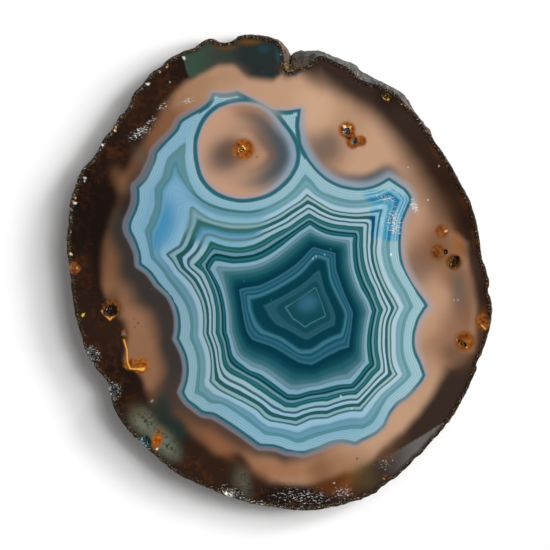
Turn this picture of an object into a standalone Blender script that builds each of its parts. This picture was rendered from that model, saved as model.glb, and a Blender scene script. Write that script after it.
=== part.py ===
"""A sawn slice of an agate nodule, lying on its flat back.

The slab is one stone: a polished face on top, a sawn back underneath, and the nodule's own
rough rind between them all the way round. The rind leans outward on the upper right, where
the saw crossed it at a slant, and is a little undercut elsewhere. A notch in the rind, a
ground flat near the lower right edge, and a handful of open cavities complete the shape.

Drawn lengths are in drawing units, measured on a plan of the face with X to the right and
Y down. Everything else is in metres. +Z is up, out of the polished face.
"""

import math

import bmesh
import bpy
from mathutils import Matrix, Vector, noise

# Driving sizes, in metres.
SLICE_LENGTH = 0.1426
THICKNESS = 0.007

# The plan of the face, in drawing units.
DRAWN_LENGTH = 475.5
DRAWN_CENTRE = (279.5, 272.2)
UNIT = SLICE_LENGTH / DRAWN_LENGTH

# The edge of the polished face, anticlockwise from the floor of the notch at the top.
POLISHED_EDGE = [
    (289, 72), (284, 67), (284, 58), (280, 44), (273, 39), (262, 36), (250, 35.5),
    (240, 36), (232, 41.5), (223, 43.5), (216, 41), (210, 39), (202, 42.5), (195, 47.5),
    (182, 52), (171, 58.5), (160, 67.5), (152, 72.5), (141, 85.5), (133, 95), (129.5, 105),
    (120, 116), (113, 129), (104, 138.5), (98, 151), (90, 161.5), (81, 172), (75, 187),
    (70, 205), (68.5, 222), (67, 250), (70, 272), (72, 293), (76, 317), (82, 338),
    (86, 351), (96, 368.5), (107, 380), (110, 394), (115, 410), (126, 427), (141, 443),
    (160, 460), (180, 475), (200, 484.5), (222, 494), (243, 501), (266, 505.5),
    (290, 509.5), (308, 510.5), (326, 508), (350, 502.5), (368, 496.5), (390, 481.5),
    (409, 466), (427, 447), (443, 428.5), (455, 411.5), (466, 393), (471, 381),
    (476.5, 369), (476, 365), (483, 348.5), (488.5, 330.5), (491.5, 313), (490, 298),
    (487, 291), (489, 284), (486, 270), (481, 257), (480, 243), (476, 223), (471, 205),
    (464, 190), (455, 173), (442, 152), (434, 141), (427, 129.5), (418, 117.5),
    (406, 104), (396, 93.5), (382, 86), (366, 81.5), (357, 77), (350, 69), (335, 61.5),
    (320, 55.5), (310, 63.5), (300, 68.5),
]

# How far the foot of the rind stands out past the polished edge, in drawing units, by
# direction from the centre in degrees anticlockwise from +X. Negative is undercut.
RIND_LEAN = [
    (0, -1), (40, -1), (50, 1), (55, 6), (59, 4.5), (62.5, 5), (66, 9), (69, 8), (73, 5.5),
    (77.5, 5), (80, 7), (82, 13), (87, 14), (89.5, 4), (93, 0), (110, -2), (180, -4),
    (270, -4), (330, -2), (360, -1),
]

# Heights of the rind's rings as shares of the thickness, and how much roughness each takes.
RING_HEIGHTS = [(0.0, 0.35), (0.06, 0.75), (0.22, 1.0), (0.4, 1.0), (0.58, 1.0), (0.76, 1.0),
                (0.93, 0.7), (1.0, 0.3)]
RING_POINTS = 400
CURVE_STEPS = 16
LUMP_SPACING, LUMP_HEIGHT = 0.0042, 0.0005
KNOB_SPACING, KNOB_HEIGHT = 0.0015, 0.00028
KNOB_SHIFT = Vector((7, 3, 1))
RIND_BULGE = 0.0004

# Open cavities, as (x, y, half length, half width, turn in degrees, depth in metres), the
# first four in drawing units. Those on the edge bite into the rind.
CAVITIES = [
    (241.5, 149.5, 3.2, 2.6, 20, 0.0010),
    (346.5, 131, 4.2, 3.4, 60, 0.0018),
    (354.5, 141.5, 3.4, 2.8, 70, 0.0018),
    (387, 97, 6.6, 3.6, -35, 0.0014),
    (445.5, 252, 2.8, 2.8, 0, 0.0012),
    (454, 262, 7.5, 4.4, 50, 0.0022),
    (110.5, 311, 8.0, 6.0, 15, 0.0016),
    (462, 343, 6.2, 2.2, -38, 0.0012),
    (91, 354, 8.0, 5.0, -40, 0.0024),
    (112, 391, 6.0, 6.5, 0, 0.0022),
    (146, 441, 7.0, 5.0, -45, 0.0018),
    (231, 493, 10.0, 4.5, -25, 0.0016),
    (290, 66, 5.5, 4.5, 40, 0.0030),
]
CAVITY_ROUGHNESS, CAVITY_LUMPS = 0.16, 2.3
CAVITY_SHIFT = Vector((5.1, 0, 0))

# The ground flat: two points of its straight inner edge on the face, and its slope.
FLAT_START, FLAT_END = (450, 418), (372, 465)
FLAT_SLOPE = math.radians(12)
FLAT_CUTTER_SIZE = (0.09, 0.03, 0.01)

STONE_COLOUR = (0.10, 0.27, 0.30, 1.0)
STONE_ROUGHNESS = 0.18


def on_plan(x, y, z=0.0):
    """The point of the part at a place on the plan."""
    return Vector(((x - DRAWN_CENTRE[0]) * UNIT, (DRAWN_CENTRE[1] - y) * UNIT, z))


def smooth_loop(corners, count):
    """Evenly spaced points on a closed Catmull-Rom curve through the corners."""
    fine = []
    total = len(corners)
    for i in range(total):
        a, b, c, d = (corners[(i + k - 1) % total] for k in range(4))
        for step in range(CURVE_STEPS):
            t = step / CURVE_STEPS
            fine.append(
                0.5 * (2 * b + (c - a) * t + (2 * a - 5 * b + 4 * c - d) * t ** 2
                       + (3 * b - a - 3 * c + d) * t ** 3)
            )
    lengths = [0.0]
    for i, point in enumerate(fine):
        lengths.append(lengths[-1] + (fine[(i + 1) % len(fine)] - point).length)
    spaced, at = [], 0
    for i in range(count):
        along = lengths[-1] * i / count
        while lengths[at + 1] < along:
            at += 1
        share = (along - lengths[at]) / (lengths[at + 1] - lengths[at])
        spaced.append(fine[at].lerp(fine[(at + 1) % len(fine)], share))
    return spaced


def lean_towards(direction):
    """The rind's lean in metres for a direction in degrees."""
    direction %= 360
    for (start, low), (end, high) in zip(RIND_LEAN, RIND_LEAN[1:]):
        if start <= direction <= end:
            return (low + (high - low) * (direction - start) / (end - start)) * UNIT
    return RIND_LEAN[-1][1] * UNIT


def outward(loop, i):
    """The outward normal of an anticlockwise loop at one of its points."""
    along = loop[(i + 2) % len(loop)] - loop[i - 2]
    return Vector((along.y, -along.x, 0)).normalized()


def rind_roughness(point):
    """Lumps and knobs of the nodule's skin at a point of the wall."""
    lumps = noise.noise(point / LUMP_SPACING) * LUMP_HEIGHT
    knobs = noise.noise(point / KNOB_SPACING + KNOB_SHIFT) * KNOB_HEIGHT
    return lumps + knobs


def rings():
    """The rind's rings from the sawn back up to the polished face."""
    edge = smooth_loop([on_plan(x, y) for x, y in POLISHED_EDGE], RING_POINTS)
    normals = [outward(edge, i) for i in range(len(edge))]
    leans = [lean_towards(math.degrees(math.atan2(p.y, p.x))) for p in edge]
    made = []
    for share, rough in RING_HEIGHTS:
        height = share * THICKNESS
        bulge = RIND_BULGE * math.sin(math.pi * share)
        ring = []
        for point, normal, lean in zip(edge, normals, leans):
            place = Vector((point.x, point.y, height))
            out = lean * (1 - share) + bulge + rough * rind_roughness(place)
            ring.append(place + normal * out)
        made.append(ring)
    return made


def new_object(name, bm, collection):
    """An object made from a bmesh, which is freed."""
    mesh = bpy.data.meshes.new(name)
    bm.to_mesh(mesh)
    bm.free()
    made = bpy.data.objects.new(name, mesh)
    collection.objects.link(made)
    return made


def make_slab(collection):
    """The uncut slab: the rings lofted, with the two sawn faces closing them."""
    bm = bmesh.new()
    loops = [[bm.verts.new(point) for point in ring] for ring in rings()]
    for low, high in zip(loops, loops[1:]):
        for i in range(RING_POINTS):
            j = (i + 1) % RING_POINTS
            bm.faces.new((low[i], low[j], high[j], high[i]))
    bm.faces.new(list(reversed(loops[0])))
    bm.faces.new(loops[-1])
    return new_object("agate_slice", bm, collection)


def make_cavity_cutter(number, cavity, collection):
    """A rough pebble that leaves one open cavity, with its widest ring at the face."""
    x, y, half_length, half_width, turn, depth = cavity
    bm = bmesh.new()
    bmesh.ops.create_icosphere(bm, subdivisions=2, radius=1.0)
    stretch = Matrix.Diagonal((half_length * UNIT, half_width * UNIT, depth, 1.0))
    place = Matrix.Translation(on_plan(x, y, THICKNESS))
    for vert in bm.verts:
        jitter = noise.noise_vector(vert.co * CAVITY_LUMPS + CAVITY_SHIFT * number)
        vert.co += jitter * CAVITY_ROUGHNESS
    bm.transform(place @ Matrix.Rotation(math.radians(turn), 4, "Z") @ stretch)
    return new_object(f"cavity_cutter_{number:02d}", bm, collection)


def make_flat_cutter(collection):
    """A block whose underside is the plane of the ground flat."""
    start, end = (on_plan(*p, THICKNESS) for p in (FLAT_START, FLAT_END))
    along = (end - start).normalized()
    across = Vector((-along.y, along.x, 0))
    if across.dot(start) < 0:
        across.negate()
    down_slope = across * math.cos(FLAT_SLOPE) - Vector((0, 0, math.sin(FLAT_SLOPE)))
    up = down_slope.cross(along)
    if up.z < 0:
        up.negate()
    length, width, height = FLAT_CUTTER_SIZE
    bm = bmesh.new()
    bmesh.ops.create_cube(bm, size=1.0)
    bm.transform(Matrix.Diagonal((length, width, height, 1.0)))
    turn = Matrix((down_slope.cross(up), down_slope, up)).transposed().to_4x4()
    middle = (start + end) / 2 + down_slope * width / 2 + up * height / 2
    bm.transform(Matrix.Translation(middle) @ turn)
    return new_object("flat_cutter", bm, collection)


def cut(target, cutter):
    """Cuts one object from another and leaves the cutter out of the model."""
    cutter.hide_render = True
    cutter.display_type = "WIRE"
    modifier = target.modifiers.new(cutter.name, "BOOLEAN")
    modifier.operation = "DIFFERENCE"
    modifier.object = cutter


def stone_material():
    """Polished chalcedony, in the teal of the middle of the face."""
    material = bpy.data.materials.new("agate")
    material.use_nodes = True
    shader = material.node_tree.nodes["Principled BSDF"]
    shader.inputs["Base Color"].default_value = STONE_COLOUR
    shader.inputs["Roughness"].default_value = STONE_ROUGHNESS
    shader.inputs["Metallic"].default_value = 0.0
    return material


def new_collection(name):
    """A collection linked to the scene."""
    made = bpy.data.collections.new(name)
    bpy.context.scene.collection.children.link(made)
    return made


for old in list(bpy.data.objects):
    bpy.data.objects.remove(old)
stone_parts = new_collection("agate_slice")
cutters = new_collection("cutters")
stone = make_slab(stone_parts)
stone.data.materials.append(stone_material())
for number, cavity in enumerate(CAVITIES):
    cut(stone, make_cavity_cutter(number, cavity, cutters))
cut(stone, make_flat_cutter(cutters))
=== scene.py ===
import math
import random

import bmesh
import bpy
import numpy as np
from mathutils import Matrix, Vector, kdtree, noise
from mathutils.geometry import delaunay_2d_cdt


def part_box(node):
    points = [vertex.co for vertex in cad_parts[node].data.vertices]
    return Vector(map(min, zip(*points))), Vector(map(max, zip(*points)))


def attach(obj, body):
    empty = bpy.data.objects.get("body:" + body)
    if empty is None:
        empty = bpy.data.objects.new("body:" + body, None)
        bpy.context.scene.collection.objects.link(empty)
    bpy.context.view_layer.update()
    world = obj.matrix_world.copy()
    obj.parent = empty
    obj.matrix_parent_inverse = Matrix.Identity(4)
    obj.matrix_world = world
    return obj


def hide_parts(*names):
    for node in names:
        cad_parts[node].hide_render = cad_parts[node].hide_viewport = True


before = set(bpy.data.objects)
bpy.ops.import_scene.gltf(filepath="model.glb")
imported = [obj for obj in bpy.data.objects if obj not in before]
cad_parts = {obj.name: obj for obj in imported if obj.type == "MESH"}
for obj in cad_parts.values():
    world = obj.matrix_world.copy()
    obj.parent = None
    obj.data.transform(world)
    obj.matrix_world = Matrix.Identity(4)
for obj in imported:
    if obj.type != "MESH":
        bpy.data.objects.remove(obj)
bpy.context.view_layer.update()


# The rind and the cavities. The skin of the nodule is a hard, knobbly crust of chalcedony and
# iron stain. It comes from the sawn solid: each of its faces is split, then roughened in two
# grain sizes. The two sawn faces are taken off here and laid again in the next section.
SLICE_LENGTH = 0.1426
DRAWN_LENGTH = 475.5
DRAWN_CENTRE = np.array((279.5, 272.2))
UNIT = SLICE_LENGTH / DRAWN_LENGTH
FACE_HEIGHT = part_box("agate_slice")[1].z
FLAT_START, FLAT_END = (450, 418), (372, 465)
FLAT_SLOPE = math.radians(12)
PLANE_TOLERANCE = 2e-5
GRIT_SPACING, GRIT_HEIGHT = 0.0016, 0.00016
GRAIN_SPACING, GRAIN_HEIGHT = 0.0007, 0.00009
GRAIN_SHIFT = Vector((3, 8, 2))
LEDGE_X, LEDGE_WIDTH, LEDGE_REACH = 299, 11, 5


def on_plan(points):
    """Places in metres turned to drawing units, X to the right and Y down."""
    points = np.asarray(points, float)
    return np.stack([points[:, 0] / UNIT + DRAWN_CENTRE[0], DRAWN_CENTRE[1] - points[:, 1] / UNIT], 1)


def in_metres(points):
    """Drawing units turned to metres."""
    points = np.asarray(points, float)
    return np.stack([(points[:, 0] - DRAWN_CENTRE[0]) * UNIT, (DRAWN_CENTRE[1] - points[:, 1]) * UNIT], 1)


flat_from, flat_to = in_metres([FLAT_START, FLAT_END])
flat_run = (flat_to - flat_from) / np.linalg.norm(flat_to - flat_from)
flat_down = np.array((-flat_run[1], flat_run[0]))
if flat_down @ flat_from < 0:
    flat_down = -flat_down


def sheet_height(x, y):
    """Height of the polished side at a place in metres: level, but for the ground flat."""
    past = (x - flat_from[0]) * flat_down[0] + (y - flat_from[1]) * flat_down[1]
    return FACE_HEIGHT - np.maximum(past, 0.0) * math.tan(FLAT_SLOPE)


def is_sheet(face):
    """Whether a face of the solid is part of a sawn or ground side."""
    if all(v.co.z < PLANE_TOLERANCE for v in face.verts):
        return True
    return all(abs(v.co.z - sheet_height(v.co.x, v.co.y)) < PLANE_TOLERANCE for v in face.verts)


def roughness_at(point):
    """Grit and grain of the crust at a point, in metres."""
    grit = noise.noise(point / GRIT_SPACING) * GRIT_HEIGHT
    return grit + noise.noise(point / GRAIN_SPACING + GRAIN_SHIFT) * GRAIN_HEIGHT


def ledge_at(point):
    """How far the foot of the rind stands out beside the notch, in metres."""
    off = (point.x / UNIT + DRAWN_CENTRE[0] - LEDGE_X) / LEDGE_WIDTH
    return LEDGE_REACH * UNIT * math.exp(-off ** 2) * (1 - point.z / FACE_HEIGHT) * (point.y > 0)


stone = bmesh.new()
stone.from_mesh(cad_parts["agate_slice"].data)
bmesh.ops.remove_doubles(stone, verts=stone.verts, dist=1e-6)
stone.normal_update()
bmesh.ops.delete(stone, geom=[f for f in stone.faces if is_sheet(f)], context="FACES_ONLY")
bmesh.ops.delete(stone, geom=[e for e in stone.edges if not e.link_faces], context="EDGES")
bmesh.ops.delete(stone, geom=[v for v in stone.verts if not v.link_faces], context="VERTS")
bmesh.ops.subdivide_edges(stone, edges=stone.edges, cuts=1, use_grid_fill=True)
stone.normal_update()
for vert in stone.verts:
    on_edge = any(e.is_boundary for e in vert.link_edges)
    push = vert.normal * roughness_at(vert.co)
    if on_edge:
        push.z = 0
    low = vert.co.z < PLANE_TOLERANCE
    push.y += ledge_at(vert.co)
    vert.co += push
    if on_edge:
        vert.co.z = 0.0 if low else sheet_height(vert.co.x, vert.co.y)
    vert.co.z = max(vert.co.z, 0.0)
for face in stone.faces:
    face.smooth = True
    face.material_index = 1
for edge in stone.edges:
    edge.smooth = not edge.is_boundary


# The growth lines. Chalcedony was laid down in the hollow layer by layer, from the wall to the
# middle, so each band keeps the corners of the one before. These are the lines that steer the
# rest, each as runs that start at a sharp corner. LEVEL counts layers from the outermost line.
OUTER_LINE = [
    [(213.5, 94), (222, 94.5), (230, 94)],
    [(237, 92.5), (243, 95.5), (250, 99), (256, 101.5), (262, 104.5), (266, 107.5), (272, 110.5),
     (280, 111.5), (290, 111.5)],
    [(299.5, 110), (298.5, 118), (298, 126), (299, 134), (300, 142), (303, 150), (308, 159),
     (315, 168.5), (321, 174.5), (328, 180), (340.5, 186), (356.5, 189), (369, 188), (380, 184)],
    [(389, 178.5), (394, 182), (400, 186), (405, 189.5), (409, 195), (410.5, 200), (408, 206),
     (404.5, 214), (401, 224), (400, 234), (399.5, 244), (400, 254), (402, 264), (406, 274),
     (411, 283), (417, 292), (423, 300)],
    [(426.5, 305.5), (422, 312), (418, 319), (415, 328), (413.5, 336), (413.5, 344), (415, 352),
     (418, 359), (421, 366)],
    [(424, 375), (421, 381), (416, 387), (411, 393), (405, 398.5), (398, 403), (391, 411),
     (387, 418), (384, 425), (376, 432.5), (370, 436), (362, 440)],
    [(356, 443.5), (348, 442), (340, 441), (330, 443), (320, 447.5), (312, 450)],
    [(304, 452.5), (295, 451), (287, 450.5), (280, 447.5), (272, 445.5)],
    [(260, 445), (250, 438), (244, 433.5), (236, 428), (230, 424), (220, 417.5), (212, 413.5),
     (203, 412), (196, 407), (190, 402.5), (186, 398)],
    [(182.5, 392), (186, 382), (187.5, 372), (187, 363), (185, 354), (181, 345)],
    [(177.5, 338.5), (179, 330), (179, 318), (177, 309), (173.5, 300), (169, 293), (163, 287.5)],
    [(158, 283), (151, 273), (145, 267.5)],
    [(140, 264), (139.5, 254), (137, 246), (133.5, 238)],
    [(130, 231), (129.5, 225), (131.5, 219), (135, 211), (137.5, 203), (138, 195)],
    [(137.5, 187.5), (141, 184), (146, 178), (150, 170), (154.5, 160)],
    [(156, 153), (162, 146), (176, 131), (181, 121.5), (190, 115.5), (200, 110), (208, 104), (212, 98)],
]
EYE_LINE = [
    [(196, 150), (196.5, 140), (199, 131), (203, 122), (209, 114), (218, 107), (228, 103), (238, 101),
     (246, 100.5), (255, 102), (262, 104.5), (270, 109), (278, 117), (285, 126), (291, 134),
     (295, 142), (297, 150), (297.5, 156), (296, 165), (292, 173), (287, 180), (278, 188.5),
     (265, 196), (245.5, 200), (230, 198.5), (215, 192), (204, 181), (198.5, 168)],
]
GREEN_LINE = [
    [(185.5, 142), (176, 150), (167, 159.5), (163.5, 174), (159, 182)],
    [(154.5, 189), (155, 205), (150, 219)],
    [(145, 231), (148, 244)],
    [(151, 258), (161, 269), (167, 278), (176, 290), (186, 305), (190.5, 322)],
    [(190, 338), (195, 350), (197.5, 365), (196.5, 382)],
    [(194.5, 393), (203, 397), (210, 402.5), (222, 404), (231, 409), (248, 421)],
    [(265, 434.5), (282, 437)],
    [(296, 442.5), (303, 442), (311, 438.5), (330, 432.5), (348, 429)],
    [(363, 428.5), (371, 424), (376, 418), (386, 400), (396, 390), (405, 382)],
    [(411, 375), (407, 365), (404, 355), (403, 345), (404, 330), (408, 315)],
    [(413, 307), (407, 293), (400, 281), (394, 270), (391, 260), (389.5, 250), (389.5, 240),
     (391, 230), (392, 220), (395, 210)],
    [(399, 200.5), (394, 196.5)],
    [(389, 193), (380, 197), (368, 199.5), (356, 200.5), (345, 199.5), (333, 196), (320, 191), (313, 182)],
    [(305, 174.3), (296, 187), (284, 198), (270, 205.5), (258, 209.5), (245.5, 211), (226, 208.5),
     (207, 202), (195, 192), (187, 174), (185, 160)],
]
THIN_LINE = [
    [(307.3, 194.7), (300, 201.7), (290, 207.7), (280, 214.4), (270, 219.4), (260, 222.9),
     (250, 224.1), (240, 224.1), (230, 223.6), (220, 222.1), (210, 218.9), (200, 212.9)],
    [(192.6, 206.8), (190.8, 209.5), (191, 216.7), (189.9, 223.8), (187.2, 232), (183.6, 241),
     (180, 246.3), (175, 249.5)],
    [(167, 254.5), (172.5, 261), (178.5, 270), (184, 275), (190, 281.5), (195, 289), (200, 299),
     (203, 309), (204, 320)],
    [(203.5, 334), (208.9, 348), (211.2, 360), (211.3, 374)],
    [(210, 381), (219, 389.5), (230, 395.5), (244, 402.3), (257, 409.5), (264, 417)],
    [(271, 421), (280, 422)],
    [(296, 425), (304, 421.5), (312, 418.5)],
    [(328, 417.5), (336, 414), (350, 410.5)],
    [(361, 410.5), (367, 403), (373, 396), (381, 388), (390, 381)],
    [(396.7, 374.5), (393, 367), (391, 358), (390.5, 345), (390.5, 330), (392, 320)],
    [(398, 307.8), (394, 300), (388, 290), (382, 277), (378, 265), (376, 255), (375.7, 248),
     (376.5, 242.8), (377, 234), (378.3, 225), (380, 216)],
    [(381.5, 209.8), (370, 212.3), (360, 213.4), (350, 213.4), (340, 212.1), (330, 209.2),
     (320, 203.4), (310, 196.9)],
]
TEAL_LINE = [
    [(308.9, 213.2), (300, 218.9), (290, 226.1), (280, 231), (270, 236), (260, 241.8), (250, 245.8),
     (240, 247.2), (230, 246.7), (220, 244.5)],
    [(210.5, 240.9), (208.7, 244.5), (206, 250), (201.5, 257)],
    [(193.5, 264.7), (202.6, 271.8), (207.1, 280), (211.1, 290), (213.8, 300), (215.6, 310), (215.8, 322)],
    [(215.6, 333), (218.7, 341.8), (221, 350), (221.9, 359.7), (224, 367), (228.6, 372.3),
     (235, 376), (243.8, 380), (252.8, 385.8), (260, 390.7), (270, 397.4), (280, 403.7)],
    [(285.3, 407.2)],
    [(296.2, 407.6), (300, 405.8), (310, 402.9), (320, 401.3)],
    [(327.6, 401.3), (340, 396.8), (350, 394.8)],
    [(356.3, 394.8), (366.2, 385), (373.3, 376.2)],
    [(380, 369.4), (380.3, 361.8), (378.3, 351), (377.8, 340), (378.5, 327.7), (380.5, 317)],
    [(383.2, 309.7), (378.7, 300), (374.3, 287.7), (370.3, 280), (366.7, 270), (364.4, 260.8),
     (363.3, 250), (363, 242.8)],
    [(363.3, 226.7), (350, 226), (345, 225.3), (340, 225), (330, 223), (320, 219.3)],
]
PALE_LINE = [
    [(310, 225.1), (300, 231.9), (290, 239.6), (280, 247.6), (270, 254.8), (260, 259.7),
     (250, 262.4), (240, 263.6), (230, 263.3), (220, 261.5)],
    [(215, 261.1)],
    [(210, 268.7), (212, 271.8), (216.5, 280), (220.5, 288), (223.2, 297), (225, 306), (226.3, 315),
     (226.6, 324)],
    [(226.8, 332), (229.5, 340), (231.3, 350)],
    [(233.1, 355.3), (236.7, 359.7), (243.8, 365.6), (250, 370.1), (260, 373.7), (270, 380.4), (280, 388.3)],
    [(287.8, 393.9), (296.8, 394.3), (300, 393.7), (310, 390.7), (320, 389.2), (330, 386.5), (340, 384.4)],
    [(350.9, 383.8), (354.5, 380.6), (360, 373.5), (364.8, 367.2)],
    [(369.1, 363.1), (368.4, 360), (367, 350), (366.9, 340), (367.8, 330), (369.7, 320)],
    [(371.7, 311.4), (367.6, 300), (361.7, 290), (357.7, 280), (354.6, 270), (353, 260),
     (352.5, 250), (352.5, 242.8)],
    [(353.2, 237.6), (350, 237.4), (340, 236.7), (330, 235.2), (320, 231.6)],
]
INNER_LINE = [
    [(240, 290), (250, 288), (260, 286.5), (270, 281.8), (280, 276.3), (290, 270), (300, 262), (307.5, 254)],
    [(313.4, 247.8), (320, 249.6), (330, 252.2)],
    [(334.8, 253.8), (334.8, 260), (335.7, 270), (338.8, 280), (342.4, 290), (346.5, 300), (351, 310)],
    [(352.1, 314), (351.3, 320), (350.4, 330), (349, 340)],
    [(348.4, 346.5), (340, 348.5), (330, 353.3), (320, 359)],
    [(311.3, 363.7), (300, 361.3), (296.8, 359.7), (290, 355.7), (280, 349.5), (270, 344.5), (260, 341.3)],
    [(252.8, 338.7), (248.3, 332.8), (245.6, 323.8), (243.8, 315), (242, 304), (240.7, 295)],
]
THIRD_INNER_LINE = [
    [(248.3, 296.7), (252.8, 296.9), (260, 295.3), (270, 291.3), (280, 286), (290, 280), (300, 273),
     (306, 266.5), (310, 261.5)],
    [(316, 255.7), (322, 257)],
    [(328, 259), (329, 270), (330.8, 280), (335, 290), (340, 300), (345, 310)],
    [(346.5, 315.6), (344.6, 326)],
    [(342, 335), (334, 337.6), (325, 342), (316, 348.3)],
    [(311.3, 351), (300, 351.5), (291, 345.5), (280, 338.5), (270, 334.6)],
    [(262, 332), (256.4, 325.6), (252.8, 318.5), (250, 310.4), (248.3, 300.5)],
]
HEXAGON = [
    [(319.6, 270.6), (321.8, 280), (324.5, 290), (329, 300), (333, 310)],
    [(335.2, 317.8)],
    [(334.3, 325.4), (330, 326.8), (320, 332.2), (310, 338)],
    [(306.5, 339), (300, 336.5), (290, 330.5), (280, 326), (275, 322.9), (270.8, 317.6), (267, 311)],
    [(263.6, 305.4), (270, 302.8), (280, 297.8), (290, 292.4), (300, 286.2), (310, 278.1), (317.4, 271.3)],
]
DIAMOND = [
    [(285.1, 307.2), (300, 298.7), (310, 291.5)],
    [(315.6, 287.3), (318.5, 295), (322, 305)],
    [(326, 315.9), (315, 321)],
    [(304.9, 327.3), (299, 322.5)],
    [(293.2, 318.9), (289, 313)],
]
HEART = [[(298, 302)], [(313, 297), (317, 303)], [(317, 312)], [(305, 315)]]
FIRST_LEVEL = 9.7
CHANNEL_WIDTH = 12.0
CHANNEL_TOP = FIRST_LEVEL - 0.7
EYE_STANDS_BACK = 40.0
LEVELS = [(FIRST_LEVEL, GREEN_LINE), (22.7, THIN_LINE), (35.6, TEAL_LINE), (46.3, PALE_LINE),
          (65.2, INNER_LINE), (71.5, THIRD_INNER_LINE), (80.0, HEXAGON), (90.0, DIAMOND), (98.0, HEART)]
LINE_STEPS = 5
CHUNK = 2000


def growth_curve(runs):
    """A closed curve through the runs' points, sharp where a run starts and round elsewhere."""
    points = [np.array(p, float) for run in runs for p in run]
    corners = [i == 0 and len(runs) > 1 for run in runs for i in range(len(run))]
    count = len(points)
    curve = []
    for i in range(count):
        a, b, c, d = (points[(i + k - 1) % count] for k in range(4))
        if corners[i]:
            a = b
        if corners[(i + 1) % count]:
            d = c
        for step in range(LINE_STEPS):
            t = step / LINE_STEPS
            curve.append(0.5 * (2 * b + (c - a) * t + (2 * a - 5 * b + 4 * c - d) * t ** 2
                                + (3 * b - a - 3 * c + d) * t ** 3))
    return np.array(curve)


def distance(points, starts, ends):
    """Distance from each point to the nearest of the segments."""
    along = ends - starts
    length = np.maximum((along ** 2).sum(1), 1e-12)
    found = np.empty(len(points))
    for at in range(0, len(points), CHUNK):
        away = points[at:at + CHUNK, None] - starts
        share = np.clip((away * along).sum(2) / length, 0, 1)
        found[at:at + CHUNK] = np.sqrt(((away - share[..., None] * along) ** 2).sum(2).min(1))
    return found


def inside(points, starts, ends):
    """Whether each point is inside the closed lines made by the segments."""
    found = np.empty(len(points), bool)
    run = np.where(ends[:, 1] == starts[:, 1], 1e-12, ends[:, 1] - starts[:, 1])
    slope = (ends[:, 0] - starts[:, 0]) / run
    for at in range(0, len(points), CHUNK):
        x, y = points[at:at + CHUNK, :1], points[at:at + CHUNK, 1:]
        crossed = (starts[:, 1] > y) != (ends[:, 1] > y)
        right = x < starts[:, 0] + (y - starts[:, 1]) * slope
        found[at:at + CHUNK] = (crossed & right).sum(1) % 2 == 1
    return found


def segments(curve):
    """The starts and ends of a closed curve's segments."""
    return curve, np.roll(curve, -1, 0)


def levels_at(points):
    """How deep in the growth sequence each point is. Below 0 is the ground outside the bands."""
    outer, eye = (segments(growth_curve(line)) for line in (OUTER_LINE, EYE_LINE))
    to_outer, to_eye = distance(points, *outer), distance(points, *eye)
    in_eye = inside(points, *eye)
    banded = inside(points, *outer) & ~in_eye
    level = np.where(in_eye, -to_eye, -np.minimum(to_outer, to_eye + EYE_STANDS_BACK))
    at = np.flatnonzero(banded)
    from_edge = np.minimum(to_outer, to_eye)[at]
    line = segments(growth_curve(GREEN_LINE))
    to_line = distance(points[at], *line)
    before = FIRST_LEVEL * from_edge / np.minimum(from_edge + to_line, CHANNEL_WIDTH)
    level[at] = np.maximum(np.minimum(before, CHANNEL_TOP), FIRST_LEVEL - to_line)
    within = inside(points[at], *line)
    at, to_line = at[within], to_line[within]
    for (start, _), (end, runs) in zip(LEVELS, LEVELS[1:]):
        line = segments(growth_curve(runs))
        to_next = distance(points[at], *line)
        level[at] = start + (end - start) * to_line / np.maximum(to_line + to_next, 1e-6)
        within = inside(points[at], *line)
        at, to_line = at[within], to_next[within]
    level[at] = LEVELS[-1][0] + to_line
    return level


# The two sawn faces. Both are flat: the upper one polished, the lower one left from the saw.
# They are laid as triangles between the rind's edges, small where the bands are fine and larger
# in the plain ground, so that the colours below can follow each growth line.
FINE_STEP = 0.7
FIRST_BAND = -9.0
EDGE_GAP = 1.0
TOP_STEPS = {"mark": 1, "band": 2, "ground": 4}
BACK_STEPS = {"mark": 4, "band": 4, "ground": 8}
COARSEST = 8
MARK_REACH = 1.8
CREASE_POINTS = 60


def boundary(top):
    """The open edges of one side of the rind."""
    return [e for e in stone.edges if e.is_boundary and (e.verts[0].co.z > FACE_HEIGHT / 3) == top]


def lattice(low, high):
    """A triangular lattice over a box on the plan, with the column and row of each point."""
    row_height = FINE_STEP * math.sqrt(3) / 2
    width = COARSEST * math.ceil((high[0] - low[0]) / FINE_STEP / COARSEST)
    rows = math.ceil((high[1] - low[1]) / row_height)
    column, row = (grid.ravel() for grid in np.meshgrid(np.arange(width), np.arange(rows)))
    x = low[0] + FINE_STEP * np.mod(column + 0.5 * row, width)
    return np.stack([x, low[1] + row_height * row], 1), column, row


def outer_loop(ends, rim):
    """Of a side's open edges, those of the loop that holds its outermost point."""
    ways = {}
    for a, b in ends:
        ways.setdefault(a, []).append(b)
        ways.setdefault(b, []).append(a)
    reached, open_ends = set(), [int(np.argmax(rim[:, 0]))]
    while open_ends:
        at = open_ends.pop()
        if at not in reached:
            reached.add(at)
            open_ends += ways[at]
    kept = np.array([a in reached for a, _ in ends])
    return rim[ends[kept, 0]], rim[ends[kept, 1]]


def clear_of(points, others, gap):
    """Which points lie further than a gap from all the others."""
    tree = kdtree.KDTree(len(others))
    for number, (x, y) in enumerate(others):
        tree.insert((x, y, 0), number)
    tree.balance()
    return np.array([tree.find((x, y, 0))[2] > gap for x, y in points])


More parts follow.
